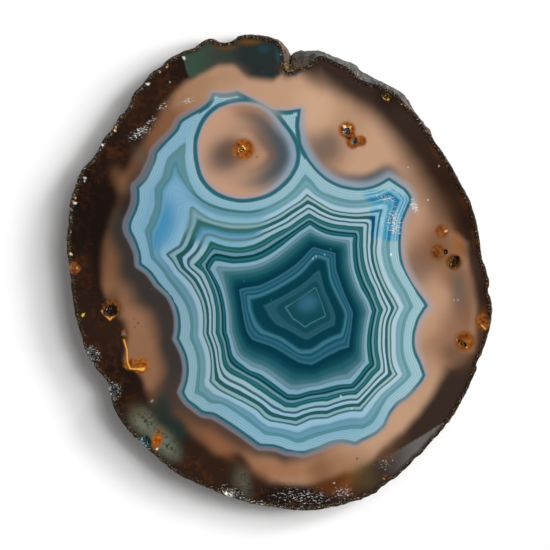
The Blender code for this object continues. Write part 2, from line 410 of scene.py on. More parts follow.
def lay_sheet(top, steps, marks):
    """Fills one side of the stone with triangles."""
    edges = boundary(top)
    verts = list({v for e in edges for v in e.verts})
    number = {v: i for i, v in enumerate(verts)}
    rim = on_plan([v.co[:2] for v in verts])
    ends = np.array([[number[v] for v in e.verts] for e in edges])
    starts, stops = rim[ends[:, 0]], rim[ends[:, 1]]
    points, column, row = lattice(rim.min(0), rim.max(0))
    coarse = (column % steps["ground"] == 0) & (row % steps["ground"] == 0)
    middle = (column % steps["band"] == 0) & (row % steps["band"] == 0)
    near_mark = np.zeros(len(points), bool)
    for x, y, reach in marks:
        near_mark |= np.hypot(points[:, 0] - x, points[:, 1] - y) < reach + MARK_REACH
    fine = near_mark & (column % steps["mark"] == 0) & (row % steps["mark"] == 0)
    kept = coarse | middle | fine
    points, coarse, fine = points[kept], coarse[kept], fine[kept]
    outer, eye = (segments(growth_curve(line)) for line in (OUTER_LINE, EYE_LINE))
    banded = inside(points, *outer) & ~inside(points, *eye)
    close = ~banded & ~coarse & ~fine
    at = np.flatnonzero(close)
    near = np.minimum(distance(points[at], *outer), distance(points[at], *eye)) < -FIRST_BAND
    keep = banded | coarse | fine
    keep[at[near]] = True
    points = points[keep]
    points = points[inside(points, starts, stops)]
    points = points[clear_of(points, rim, EDGE_GAP)]
    plan = [Vector(p) for p in np.concatenate([rim, points])]
    constraints = [tuple(int(i) for i in pair) for pair in ends]
    if top:
        inner = np.linspace(0.01, 0.99, CREASE_POINTS)[:, None]
        crease = np.array(FLAT_START) + (np.array(FLAT_END) - FLAT_START) * inner
        crease = crease[inside(crease, starts, stops)]
        constraints += [(len(plan) + i, len(plan) + i + 1) for i in range(len(crease) - 1)]
        plan += [Vector(p) for p in crease]
    corners, _, triangles, _, _, _ = delaunay_2d_cdt(plan, constraints, [], 0, 1e-6, False)
    corners = np.array([tuple(c) for c in corners])
    triangles = np.array([tuple(t) for t in triangles if len(t) == 3])
    triangles = triangles[inside(corners[triangles].mean(1), starts, stops)]
    places = in_metres(corners)
    made = verts + [
        stone.verts.new((x, y, sheet_height(x, y) if top else 0.0)) for x, y in places[len(verts):]
    ]
    for a, b, c in triangles:
        turn = np.cross(places[b] - places[a], places[c] - places[a])
        order = (a, b, c) if (turn > 0) == top else (a, c, b)
        face = stone.faces.new([made[i] for i in order])
        face.smooth = False
        face.material_index = 0
    return outer_loop(ends, rim)


# The stains and inclusions of the ground. Between the bands and the rind the chalcedony is clear
# and smoky, peach where iron has tinted it, with rust round small inclusions, golden threads of
# goethite in old cracks, and white specks where the polish has opened a void; at two voids these
# white specks are painted glints.
THREADS = [
    ((124, 340), (127, 350), (127.5, 362), (130, 368.5), (136, 369), (143, 369.5)),
    ((102, 311), (106, 315.5), (110, 319.5), (114, 315), (117, 309)),
    ((457, 339.5), (462, 343.5), (467, 347.5)),
    ((481.5, 325), (485.5, 329)),
]
THREAD_WIDTH = 0.78
# At the voids by the eye and at (350, 135), the whitest specks are painted glints on their crystals and the
# near-black ones are painted shade down their holes.
SPECKS = [
    (240, 150, 1.6, "fff3d8"), (244.5, 148.5, 1.3, "f2b968"), (243, 146.5, 1.0, "ffdf9a"),
    (257, 157, 1.0, "8a4a1c"), (345, 127, 1.8, "f4e6c4"), (349, 128.5, 1.2, "ffe6a8"),
    (346, 131, 1.3, "dfe4e6"), (350.5, 127, 1.0, "e6c27a"), (353.5, 142, 1.3, "eef2f4"),
    (348.5, 133, 1.6, "1c120c"), (356, 140, 2.0, "140c08"), (349, 138, 1.6, "2a150a"),
    (446, 231, 1.5, "e0b078"), (391, 254.5, 1.1, "f4f7f8"), (428, 200, 0.9, "d8c8ba"),
    (408, 167, 0.8, "c9b8ad"), (439, 166, 0.8, "c9b8ad"), (458, 300, 0.8, "b8a89c"),
    (352, 408.5, 0.9, "b9d6dc"), (341, 396.5, 1.1, "b0dce4"), (357, 458.5, 1.2, "6a4326"),
    (313, 258.5, 1.0, "8fb4bd"), (316, 256.5, 0.9, "86aab4"), (324.7, 254.7, 0.9, "7fa8b4"),
    (330.5, 249, 0.8, "3f6f80"), (244, 281, 0.8, "2a5e70"), (271, 300, 0.7, "2f6a74"),
    (152, 401, 1.3, "8e8f86"), (124, 334, 1.8, "6e6964"), (138, 323, 1.1, "7a3812"),
    (134, 319, 0.7, "7a3812"), (135, 327, 0.7, "7a3812"), (143, 369, 1.8, "f0b45c"),
    (83, 315, 1.6, "d9c24a"), (71, 254, 1.4, "d9c69a"), (77, 268, 1.0, "cfa56a"),
    (85, 178, 1.4, "c9ccca"), (84.5, 181, 1.0, "b9bcba"), (75, 203, 1.6, "dcd6c8"),
    (75.5, 198, 1.0, "e08a3a"), (116, 127, 1.1, "d09a5a"), (115, 130.5, 1.2, "e8c8a8"),
    (102.5, 145, 1.2, "f0efe8"), (148, 84, 1.6, "d8d8d4"), (160, 72, 1.0, "c9a05a"),
    (184, 58, 1.6, "dcdcd6"), (167, 67, 1.0, "d0b080"), (170, 82, 0.7, "b8b0a8"),
    (454, 300, 0.6, "c9b8a8"), (334, 483, 1.0, "b0a498"),
    (384, 479, 1.0, "c07030"), (146, 437, 1.6, "b9cfc9"), (157, 449, 1.2, "f0dcb8"),
    (113, 392, 2.0, "d6d9d8"), (92, 353, 2.0, "b9bcbc"), (92, 356, 1.4, "2a2a28"),
]
# The triangles are also small along the sharp left edge of the moss.
MOSS_EDGE = ((181, 50), (185, 64), (190, 79))
marked = [(x, y, r) for x, y, r, _ in SPECKS]
for thread in THREADS + [MOSS_EDGE]:
    for (ax, ay), (bx, by) in zip(thread, thread[1:]):
        marked += [(ax + (bx - ax) * k / 4, ay + (by - ay) * k / 4, 1.5) for k in range(5)]
CAVITIES = [
    (241.5, 149.5, 3.2, 2.6, 20, 0.0010, "gold"), (346.5, 131, 4.2, 3.4, 60, 0.0018, "silver"),
    (354.5, 141.5, 3.4, 2.8, 70, 0.0018, "silver"), (387, 97, 6.6, 3.6, -35, 0.0014, "yellow"),
    (445.5, 252, 2.8, 2.8, 0, 0.0012, "honey"), (454, 262, 7.5, 4.4, 50, 0.0022, "honey"),
    (110.5, 311, 8.0, 6.0, 15, 0.0016, "dark honey"), (462, 343, 6.2, 2.2, -38, 0.0012, "gold"),
    (91, 354, 8.0, 5.0, -40, 0.0024, "silver"), (112, 391, 6.0, 6.5, 0, 0.0022, "silver"),
    (146, 441, 7.0, 5.0, -45, 0.0018, "sea"), (231, 493, 10.0, 4.5, -25, 0.0016, "white"),
    (290, 66, 5.5, 4.5, 40, 0.0030, "old gold"),
]


def placed(name, data):
    """An object in the scene, made from its data."""
    made = bpy.data.objects.new(name, data)
    bpy.context.scene.collection.objects.link(made)
    return made


polished_rim = lay_sheet(True, TOP_STEPS, marked)
lay_sheet(False, BACK_STEPS, [])
stone_mesh = bpy.data.meshes.new("agate")
stone.to_mesh(stone_mesh)
stone.free()
agate = placed("agate", stone_mesh)


# Colour of the ground. Iron tinted the clear chalcedony: peach where it is thin, brown and sooty
# towards the rind, smoky beside the bands on the left. The profiles run anticlockwise from the
# right, in degrees, and their reaches are in drawing units from the rind or from the bands.
SHADES = {
    "peach": "c39c80", "pale peach": "cca487", "tan": "a27a5e", "clay": "80583f", "brown": "5a3f2e",
    "umber": "301f17", "soot": "1b1310", "bark": "372a24", "smoke": "5f534d", "dusk": "383330",
    "slate": "4b545a", "moss": "394038", "green moss": "384c40", "teal black": "262e2e",
    "teal": "1e5560", "lichen": "6c7161", "dark lichen": "23302c", "amber": "90561c",
    "ochre": "744c31", "olive": "4a3d24", "gold crust": "6b4a1a", "chestnut": "5b3317",
    "ground flat": "625f5d", "greenish brown": "5b5145", "rose halo": "a99d9f",
    "grey halo": "525960", "blue halo": "7f9cae", "halo line": "868d9e", "eye peach": "bf967b",
    "sienna": "96623f",
}
GROUND_CENTRE = np.array((285, 275))
EYE_CENTRE, EYE_RADIUS, EYE_RING_WIDTH = np.array((246, 150)), 52, 8
EYE_GROUND_RADIUS, EYE_SHELLS_END = 50, 300
EYE_RING_SHIFT = 1.1
GLOW_SHADES = ("brown", "clay", "tan", "peach")
GLOW = [
    (0, 2.5), (8, 2.3), (15, 2.6), (25, 2.7), (33, 2.4), (44, 2.6), (50, 2.9), (58, 2.9), (64, 2.5),
    (70, 2.5), (75, 2.9), (80, 3), (90, 2.8), (105, 2.7), (112, 2.3), (120, 1.8), (125, 1),
    (130, 0.9), (135, 0.7), (140, 0.3), (145, 0.2), (150, 0.4), (156, 0.1), (162, 0.1), (170, 0.5),
    (175, 0.75), (180, 0.95), (185, 1.25), (195, 1.45), (210, 1.3), (220, 1.25), (226, 0.4),
    (240, 0.6), (250, 0.9), (255, 0.75), (260, 1.5), (266, 2.1), (275, 2.3), (281, 1.6), (285, 2),
    (290, 2.4), (296, 2.8), (310, 2.9), (323, 2.7), (330, 2.4), (345, 2.9), (360, 2.5),
]
RIM_SHADES = ("soot", "umber", "bark")
RIM_ZONE = [
    (0, 16, 3.5, 1.3), (5, 12, 3, 1.3), (10, 12, 4, 1.2), (13, 21, 6, 0.8), (15, 26, 6, 0.5),
    (20, 31, 12, 0.5), (25, 32, 15, 0.7), (30, 34, 19, 0.9), (40, 33, 17, 1.5), (50, 33, 15, 1.4),
    (60, 31, 12, 1.8), (65, 26, 14, 1.9), (70, 22, 11, 1.9), (75, 26, 13, 1.8), (79, 24, 14, 1.8),
    (83, 13, 11, 1.6), (86, 3, 8, 1.5), (90, 6, 7, 1.5), (100, 5, 4, 1.2), (112.5, 5, 4, 1.2),
    (114, 28, 4, 0.4), (120, 28, 5, 0.3), (124, 33, 6, 0.7), (130, 31, 5, 0.7), (137, 33, 6, 0.6),
    (142, 34, 5, 0.4), (150, 33, 5, 0.4), (152.5, 40, 7, 0.2), (155, 46, 8, 0.1), (158, 46, 7, 0.1),
    (162, 42, 5, 0.1), (166, 39, 5, 0.1), (170, 35, 4, 0.2), (177, 31, 4, 0.3), (182, 30, 4, 0.5),
    (187, 33, 4, 0.6), (191, 40, 5, 0.8), (196, 42, 6, 0.9), (200, 37, 5, 0.9), (204, 31, 4, 0.7),
    (208, 26, 4, 0.4), (215, 26, 4, 0.3), (219, 27, 4, 0.5), (222, 33, 5, 0.6), (225, 36, 6, 0.6),
    (232, 38, 6, 0.3), (240, 39, 5, 0.5), (244, 37, 5, 0.8), (248, 32, 5, 0.9), (256, 36, 5, 0.9),
    (261, 27, 5, 0.9),
    (265, 26, 9, 1), (270, 24, 4, 0.9), (275, 24, 4, 0.6), (283, 26, 6, 0.8), (287, 30, 6, 0.9),
    (291, 25, 6, 1.1), (296, 27, 5, 1.5), (300, 28, 5, 1.9), (325, 29, 6, 2), (330, 29, 9, 2),
    (334, 16, 9, 1.8), (338, 9, 5, 1.7), (345, 13, 4, 1.3), (350, 13, 5, 1.4), (355, 11, 4, 1.5),
    (360, 15, 3.5, 1.5),
]
# The moss at the top runs by X: each row has the Y where it ends, its softness and its shade.
MOSS_SHADES = ("teal black", "moss", "green moss")
MOSS_ZONE = [
    (179, 20, 3, 2), (182, 50, 3, 2), (186, 70, 3, 2), (190, 79, 4, 2), (196, 77, 4, 2),
    (203, 74, 4, 1.6), (210, 70, 4, 1.2), (218, 66, 4, 0.9), (232, 65.5, 4, 0.6), (237, 68, 5, 0.3),
    (242, 74, 5, 0), (248, 78, 5, 0), (262, 80, 5, 0), (273, 81, 5, 0), (280, 76, 4, 0),
    (284, 62, 3, 0), (286, 50, 3, 0), (288, 20, 3, 0),
]
SMOKE = [
    (0, 0, 8), (135, 0, 8), (142, 0.35, 13), (150, 0.7, 14), (156, 1, 18), (165, 1, 22), (175, 1, 23),
    (182, 1, 27), (190, 1, 34), (200, 1, 29), (207, 1, 22), (215, 1, 27), (222, 1, 26),
    (227, 0.8, 20), (232, 0.7, 15), (240, 0.6, 15), (250, 0.7, 16), (262, 0.7, 13), (270, 0.9, 16),
    (276, 0.5, 12), (282, 0.1, 8), (290, 0, 8), (360, 0, 8),
]
HALO = [
    (0, 1, 0.1, 0, 10), (45, 0.9, 0.2, 0, 9), (47, 0.8, 0.9, 0, 9), (80, 0.8, 0.9, 0, 9),
    (84, 1, 0.2, 0, 7), (110, 0.85, 0.05, 0, 6), (118, 0.35, 0.1, 0.4, 7), (135, 0.15, 0.15, 0.7, 8),
    (162, 0.1, 0.3, 0.8, 8), (180, 0.15, 0.7, 0.9, 5.5), (225, 0.15, 0.7, 0.9, 5.5),
    (240, 0.1, 0.2, 0.9, 6), (265, 0.2, 0.2, 0.9, 6), (285, 0.4, 0.1, 0.6, 5.5), (295, 0.6, 0, 0.2, 4),
    (322, 0.8, 0.05, 0, 5), (330, 1, 0.15, 0, 9), (360, 1, 0.1, 0, 10),
]
HALO_COVER, HALO_LINE, HALO_LINE_WIDTH = 0.88, 0.75, 1.2
MOTTLED = [
    (0, 0.5, 9), (15, 0.8, 11), (45, 0.8, 11), (60, 0.3, 10), (80, 0.2, 10), (114, 0.2, 20),
    (118, 0.8, 46), (150, 0.7, 44), (160, 0.3, 30), (175, 0.5, 30), (200, 0.8, 34), (225, 0.6, 30),
    (228, 0.1, 10), (238, 0.3, 20), (243, 1, 34), (262, 0.8, 26), (285, 0.5, 26), (300, 0.1, 10),
    (340, 0.2, 8), (360, 0.5, 9),
]

# Stains in the ground, each as its place, half length, half width, turn, shade and strength. The
# shells hug the bands: their last two numbers are the distances where they start and end. A rust
# spot has its place, reach, strength and tint, from brown at 0 to orange at 1.
STAINS = [
    (280, 53, 4, 9, 0, "teal", 0.8),
    (264, 49, 6, 4, 0, "teal", 0.4), (249, 41, 13, 4, 0, "gold crust", 0.8),
    (224, 46, 11, 3.5, 5, "gold crust", 0.8), (287, 68, 7, 7, 0, "gold crust", 0.9),
    (292, 73, 7, 3, 10, "teal", 0.8), (230, 76, 16, 11, 0, "tan", 0.5),
    (200, 86, 16, 8, -30, "tan", 0.8), (178, 99, 15, 7, -35, "tan", 0.35),
    (143, 158, 8, 14, -35, "greenish brown", 0.5), (120, 180, 8, 14, -25, "clay", 0.5),
    (128, 205, 7, 14, 0, "umber", 0.6), (88, 205, 14, 40, 0, "soot", 0.8),
    (97, 240, 9, 50, 0, "soot", 0.7), (113, 300, 8, 12, 0, "umber", 0.5),
    (110, 311, 12, 10, 0, "soot", 0.85), (116, 332, 9, 12, 0, "umber", 0.7),
    (120, 376, 13, 13, -30, "soot", 0.6), (163, 407, 11, 17, -20, "dark lichen", 0.95),
    (177, 428, 11, 18, -30, "dark lichen", 0.95), (143, 421, 15, 11, 50, "lichen", 0.95),
    (162, 441, 19, 11, 48, "lichen", 0.9), (175, 452, 10, 8, 45, "lichen", 0.6),
    (139, 413, 9, 6, 40, "olive", 0.5),
    (157, 440, 5, 11, 15, "amber", 0.95), (198, 455, 22, 16, 30, "umber", 0.9),
    (222, 468, 16, 14, 20, "umber", 0.9), (243, 482, 12, 18, -15, "dark lichen", 0.8),
    (244, 484, 9, 15, -15, "lichen", 0.5), (246, 493, 6, 4, 20, "teal", 0.5),
    (258, 483, 10, 12, 0, "umber", 0.8), (300, 497, 46, 13, 0, "soot", 1.0),
    (285, 470, 36, 10, 3, "sienna", 0.6), (320, 469, 13, 10, 0, "clay", 0.7),
    (218, 446, 20, 7, 38, "sienna", 0.5), (340, 462, 16, 8, -10, "sienna", 0.4),
    (330, 486, 17, 9, 0, "chestnut", 0.9), (344, 484, 14, 12, 10, "chestnut", 0.85),
    (353, 474, 12, 10, 10, "amber", 0.4), (367, 475, 15, 16, 20, "olive", 0.85),
    (385, 470, 12, 16, 10, "bark", 0.9), (386, 455, 12, 8, -30, "brown", 0.8),
    (394, 444, 16, 7, -38, "brown", 0.5), (360, 455, 12, 9, -20, "tan", 0.4),
    (418, 266, 16, 22, 15, "smoke", 0.6), (426, 248, 16, 22, 0, "clay", 0.5),
    (442, 246, 17, 28, 0, "ochre", 0.8), (440, 210, 16, 18, 0, "brown", 0.5),
    (459, 247, 6, 13, -16, "amber", 0.75), (456, 276, 16, 15, 0, "clay", 0.75),
    (470, 250, 8, 18, -12, "umber", 0.6), (478, 276, 8, 30, 0, "bark", 0.95),
    (461, 298, 11, 28, -6, "smoke", 0.85), (469, 300, 5, 30, 3, "clay", 0.6),
    (484, 305, 8, 40, 4, "umber", 0.95), (483, 318, 7, 12, 8, "chestnut", 0.8),
    (458, 330, 22, 28, 0, "clay", 0.75), (437, 345, 14, 12, 0, "clay", 0.4),
    (456, 356, 17, 14, 0, "brown", 0.7), (411, 205, 8, 18, 10, "tan", 0.4),
    (327, 147, 16, 19, 0, "smoke", 0.75), (314, 150, 9, 22, -20, "smoke", 0.45),
    (312, 108, 20, 22, 0, "pale peach", 0.8), (330, 80, 24, 12, 10, "bark", 0.35),
    (372, 96, 30, 10, 32, "bark", 0.6), (390, 97, 17, 11, 35, "soot", 0.9),
    (404, 118, 26, 11, 50, "bark", 0.6), (226, 155, 21, 17, -35, "smoke", 0.95),
    (234, 150, 13, 12, -30, "brown", 0.55), (252, 113, 24, 9, 18, "clay", 0.6),
    (246, 153, 18, 15, 0, "clay", 0.5), (262, 135, 12, 20, -25, "clay", 0.3),
]
SHELLS = [
    (293, 146, 52, 64, 0, "smoke", 0.95, 12, 32), (294, 154, 42, 60, 5, "slate", 1.0, 6, 22),
    (296, 152, 34, 62, 0, "blue halo", 0.9, -3, 9), (364, 180, 38, 26, 0, "slate", 0.8, 7, 15),
    (376, 174, 20, 13, -15, "slate", 0.6, 4, 15), (350, 180, 60, 40, 0, "blue halo", 0.75, -3, 8),
    (308, 140, 14, 30, 0, "blue halo", 0.6, -3, 8),
]
RUSTS = [
    (244, 149, 13.5, 1.0, 0.7), (347, 130, 11, 1.0, 0.7), (353, 142, 9, 1.0, 0.5),
    (361, 141, 7.5, 0.9, 0.5), (350, 136, 7, 1.0, 0.3), (442, 231, 9.5, 0.75, 0.4), (438, 252, 11, 0.7, 0.3),
    (454, 262, 11, 0.9, 0.1), (465, 341, 14, 0.8, 0.5), (141, 366, 10, 1.0, 0.7),
    (130, 364, 8, 0.8, 0.5), (112, 308, 12, 0.9, 0.1), (125, 333, 5, 0.8, 0.4),
    (483, 322, 10, 0.9, 0.4), (74, 268, 8, 0.8, 0.3), (157, 440, 7, 0.8, 1.0),
    (346, 486, 9, 0.35, 0.3),
]
FROSTS = [
    (140, 132, 19, 7, -30, 1.07), (152, 120, 10, 4, -30, 0.95), (163, 106, 12, 5, -38, 1.0),
    (186, 101, 14, 5, -16, 1.0), (414, 206, 4.5, 11, -18, 1.4), (394, 222, 12, 20, -6, 1.15),
    (386, 199, 18, 7, 8, 1.05), (303, 497, 44, 14, 2, 0.83), (344, 493, 16, 10, 0, 0.95),
    (384, 464, 18, 14, -30, 0.75), (290, 482, 40, 9, 0, 0.55), (362, 482, 14, 12, 0, 0.55),
]
# Painted highlights: how strongly white glints are painted on the rim crust, by direction.
PAINTED_RIM_GLINTS = [
    (0, 0.1), (40, 0.3), (46, 0.7), (62, 0.6), (80, 0.4), (90, 0.6), (112, 0.6), (170, 0.7), (195, 0.3),
    (203, 0.9), (208, 0.5), (213, 0.9), (222, 0.4), (228, 0.8), (245, 0.4), (262, 0.8), (290, 0.6),
    (300, 0.2), (330, 0.1), (360, 0.1),
]
BLUE_STAINS = [(388, 199, 25, 9, 10), (393, 214, 13, 25, -6), (391, 231, 14, 11, 0), (375, 221, 6, 20, 0)]
POOLS = [(162, 222, 14, 25, 10), (157, 236, 9, 16, 20)]
LAGOON = (172, 208, 22, 44, 6)
PALE_RINGS = [(222, 93, 22, 9, 0, 0.75), (266, 106, 17, 7, 32, 1.0), (335, 443, 36, 8, -5, 0.7),
              (380, 427, 24, 8, -40, 0.6), (405, 398, 16, 8, -45, 0.5), (150, 170, 14, 44, -35, 0.3)]
FADED = (222, 218, 46, 34, 10)
SOFT_HEART = (308, 303, 11, 9, -25)
LICHEN = [(144, 421, 17, 12, 50), (163, 442, 22, 12, 48), (244, 484, 9, 15, -15)]
RIM_GREY, RIM_GREY_STRENGTH = (352, 66, 74, 17, 24), 1.5
PAINTED_GLINT_STRENGTH = 1.15
FLAT_TONE_FROM, FLAT_TONE_TO = 382, 420


def linear(colour):
    """An sRGB hex colour as linear numbers."""
    parts = [int(colour[i:i + 2], 16) / 255 for i in (0, 2, 4)]
    return [p / 12.92 if p <= 0.04045 else ((p + 0.055) / 1.055) ** 2.4 for p in parts]


def blob(points, x, y, long, wide, turn):
    """A soft spot's weight, 1 in its middle."""
    angle = math.radians(turn)
    dx, dy = points[:, 0] - x, points[:, 1] - y
    along = (dx * math.cos(angle) + dy * math.sin(angle)) / long
    across = (dy * math.cos(angle) - dx * math.sin(angle)) / wide
    return np.exp(-(along ** 2 + across ** 2) ** 1.5)


def blended(base, other, weight):
    """One set of colours blended towards another."""
    return base + (np.asarray(other) - base) * np.asarray(weight)[:, None]


def rise(low, high, values):
    """0 below low, 1 above high, and a smooth climb between."""
    share = np.clip((values - low) / (high - low), 0, 1)
    return share * share * (3 - 2 * share)


def directions(points):
    """Each point's direction from the middle of the ground, in degrees."""
    out = points - GROUND_CENTRE
    return np.degrees(np.arctan2(-out[:, 1], out[:, 0])) % 360


def profile(rows, direction):
    """The numbers of a profile at each direction."""
    columns = list(zip(*rows))
    return [np.interp(direction, columns[0], column) for column in columns[1:]]


def stepped(names, place):
    """Colours along a row of shades, at places counted from the first."""
    row = np.array([linear(SHADES[name]) for name in names])
    return np.stack([np.interp(place, range(len(names)), row[:, i]) for i in range(3)], 1)


def ground_at(points, level, to_rim, below):
    """The ground's colour at each point of the plan."""
    direction = directions(points)
    from_bands = np.maximum(-level, 0)
    in_eye = inside(points, *segments(growth_curve(EYE_LINE)))
    colour = stepped(GLOW_SHADES, profile(GLOW, direction)[0])
    smoke, smoke_reach = profile(SMOKE, direction)
    smoky = smoke * (1 - rise(smoke_reach * 0.55, smoke_reach * 1.3, from_bands))
    colour = blended(colour, linear(SHADES["dusk"]), smoky)
    middle, soft, shade = profile(RIM_ZONE, direction)
    stained = 1 - rise(middle - soft, middle + soft, to_rim)
    colour = blended(colour, stepped(RIM_SHADES, shade), stained)
    lowest, soft, shade = profile(MOSS_ZONE, points[:, 0])
    mossy = 1 - rise(lowest - soft, lowest + soft, points[:, 1])
    colour = blended(colour, stepped(MOSS_SHADES, shade), mossy)
    colour[in_eye] = linear(SHADES["eye peach"])
    for x, y, long, wide, turn, name, strength in STAINS:
        lies_in_eye = math.hypot(x - EYE_CENTRE[0], y - EYE_CENTRE[1]) < EYE_GROUND_RADIUS
        weight = blob(points, x, y, long, wide, turn) * strength * (in_eye == lies_in_eye)
        colour = blended(colour, linear(SHADES[name]), weight)
    light, blue, line, width = profile(HALO, direction)
    halo = stepped(("grey halo", "rose halo"), np.where(in_eye, 0.9, light))
    halo = blended(halo, linear(SHADES["blue halo"]), np.where(in_eye, 0.1, blue) * 0.8)
    colour = blended(colour, halo, HALO_COVER * (1 - rise(width * 0.2, width * 1.1, from_bands)))
    for x, y, long, wide, turn, name, strength, near, far in SHELLS:
        shell = rise(near - 3, near + 2, from_bands) * (1 - rise(far - 6, far + 4, from_bands))
        weight = blob(points, x, y, long, wide, turn) * shell * strength
        weight = weight * (in_eye == (x < EYE_SHELLS_END))
        colour = blended(colour, linear(SHADES[name]), weight)
    ridge = np.exp(-((from_bands - width * HALO_LINE) / HALO_LINE_WIDTH) ** 2) * line * 0.55 * ~in_eye
    colour = blended(colour, linear(SHADES["halo line"]), ridge)
    return blended(colour, linear(SHADES["ground flat"]), below)


def paint(mesh, name, values):
    """Stores one number or one colour at each point of the mesh."""
    kind = "FLOAT_COLOR" if values.ndim == 2 else "FLOAT"
    layer = mesh.attributes.new(name, kind, "POINT")
    if values.ndim == 2 and values.shape[1] == 3:
        values = np.concatenate([values, np.ones((len(values), 1))], 1)
    layer.data.foreach_set("color" if values.ndim == 2 else "value", values.astype(np.float32).ravel())


places = np.empty(len(stone_mesh.vertices) * 3, np.float32)
stone_mesh.vertices.foreach_get("co", places)
places = places.reshape(-1, 3).astype(float)
plan = on_plan(places[:, :2])
level = levels_at(plan)
to_rim = distance(plan, *polished_rim)
direction = directions(plan)
past_crease = (in_metres(plan) - flat_from) @ flat_down > PLANE_TOLERANCE
from_ring = np.abs(np.hypot(*(plan - EYE_CENTRE).T) - EYE_RADIUS)
ring_reach = rise(0, 0.5, level) * (1 - rise(2.5, 6, level)) * (from_ring < EYE_RING_WIDTH)
level -= EYE_RING_SHIFT * ring_reach
paint(stone_mesh, "level", level)
on_flat = past_crease * rise(FLAT_TONE_FROM, FLAT_TONE_TO, plan[:, 0])
paint(stone_mesh, "ground", ground_at(plan, level, to_rim, on_flat))
paint(stone_mesh, "rim", to_rim)
amount, reach = profile(MOTTLED, direction)
paint(stone_mesh, "mottled", amount * (1 - rise(reach * 0.4, reach, to_rim)))
rusts = np.array([s * (1 - rise(r * 0.25, r * 1.1, np.hypot(*(plan - (x, y)).T))) for x, y, r, s, _ in RUSTS])
paint(stone_mesh, "rust", rusts.max(0))
paint(stone_mesh, "rust tint", np.array([row[4] for row in RUSTS])[rusts.argmax(0)])
frost = np.max([s * blob(plan, x, y, a, b, t) for x, y, a, b, t, s in FROSTS], 0)
# Painted highlights: white glints painted along the rim crust, stored in the frost layer.
painted_rim_glint = profile(PAINTED_RIM_GLINTS, direction)[0] * (1 - rise(2.5, 7, to_rim)) * PAINTED_GLINT_STRENGTH
paint(stone_mesh, "frost", np.maximum(frost, painted_rim_glint))
paint(stone_mesh, "faded", blob(plan, *FADED))
paint(stone_mesh, "blue stain", np.max([blob(plan, *place) for place in BLUE_STAINS], 0))
paint(stone_mesh, "pool", np.max([blob(plan, *place) for place in POOLS], 0))
paint(stone_mesh, "lagoon", blob(plan, *LAGOON))
paint(stone_mesh, "heart", blob(plan, *SOFT_HEART))
paint(stone_mesh, "lichen", np.max([blob(plan, *place) for place in LICHEN], 0))
paint(stone_mesh, "pale ring", np.max([s * blob(plan, x, y, a, b, t) for x, y, a, b, t, s in PALE_RINGS], 0))


# Marks on top of the colours: the golden threads and the opened voids' specks, each a few
# drawing units wide. Side tone: the bands are paler on the right and bluer on the left and below.
# The paler right and darker left are painted light from the softboxes on the right; the blue is
# the bands' own tint.
TONES = [
    (148, 235, 52, 110, 0, (0.72, 0.82, 0.92), 1.0), (190, 340, 44, 90, -12, (0.79, 0.81, 0.82), 0.9),
    (285, 425, 130, 34, 0, (0.76, 0.88, 0.96), 1.0), (235, 215, 60, 28, 12, (0.82, 0.92, 0.97), 0.8),
    (180, 120, 46, 26, -35, (0.76, 0.86, 0.94), 0.9), (305, 168, 16, 26, 0, (0.95, 1.0, 1.0), 0.6),
]
# Painted light: darker bands on the left, and paler, warmer ones on the right, where the softboxes stand.
SHADED_LEFT_TONE, LIT_RIGHT_TONE = 0.91, (1.0, 0.97, 0.95)
LIGHT_TURNS_FROM, LIGHT_TURNS_TO = 340, 400
THREAD_HALO = 2.4
THREAD_STAIN, THREAD_GOLD = "8a5218", "f2b25c"


def marks_at(points):
    """Colour and cover of the threads and specks at each point."""
    marks = np.tile(linear(THREAD_STAIN) + [0.0], (len(points), 1))
    for thread in THREADS:
        line = np.array(thread, float)
        away = distance(points, line[:-1], line[1:])
        halo = 0.75 * (1 - rise(THREAD_WIDTH, THREAD_HALO, away))
        core = 1 - rise(THREAD_WIDTH * 0.3, THREAD_WIDTH * 1.25, away)
        marks[:, 3] = np.maximum(marks[:, 3], np.maximum(halo, core))
        marks[:, :3] = blended(marks[:, :3], linear(THREAD_GOLD), core)
    for x, y, radius, colour in SPECKS:
        angle = np.arctan2(points[:, 1] - y, points[:, 0] - x)
        ragged = 1 + 0.2 * np.sin(2 * angle + 5 * x) + 0.18 * np.sin(5 * angle + 3 * y)
        away = np.hypot(points[:, 0] - x, points[:, 1] - y) * ragged
        cover = 1 - rise(radius * 0.55, radius * 1.25, away)
        marks[:, :3] = blended(marks[:, :3], linear(colour), 1 - rise(radius + 1.5, radius + 2.5, away))
        marks[:, 3] = np.maximum(marks[:, 3], cover)
    return marks


# Painted light: the bands are shaded on the left and lit on the right, then tinted by the tones.
lit_on_right = rise(LIGHT_TURNS_FROM, LIGHT_TURNS_TO, plan[:, 0])
tint_and_painted_light = blended(np.full((len(plan), 3), SHADED_LEFT_TONE), LIT_RIGHT_TONE, lit_on_right)
for x, y, long, wide, turn, tint, strength in TONES:
    tint_and_painted_light = blended(tint_and_painted_light, tint_and_painted_light * tint, blob(plan, x, y, long, wide, turn) * strength)
paint(stone_mesh, "tint_and_painted_light", tint_and_painted_light)
paint(stone_mesh, "marks", marks_at(plan))


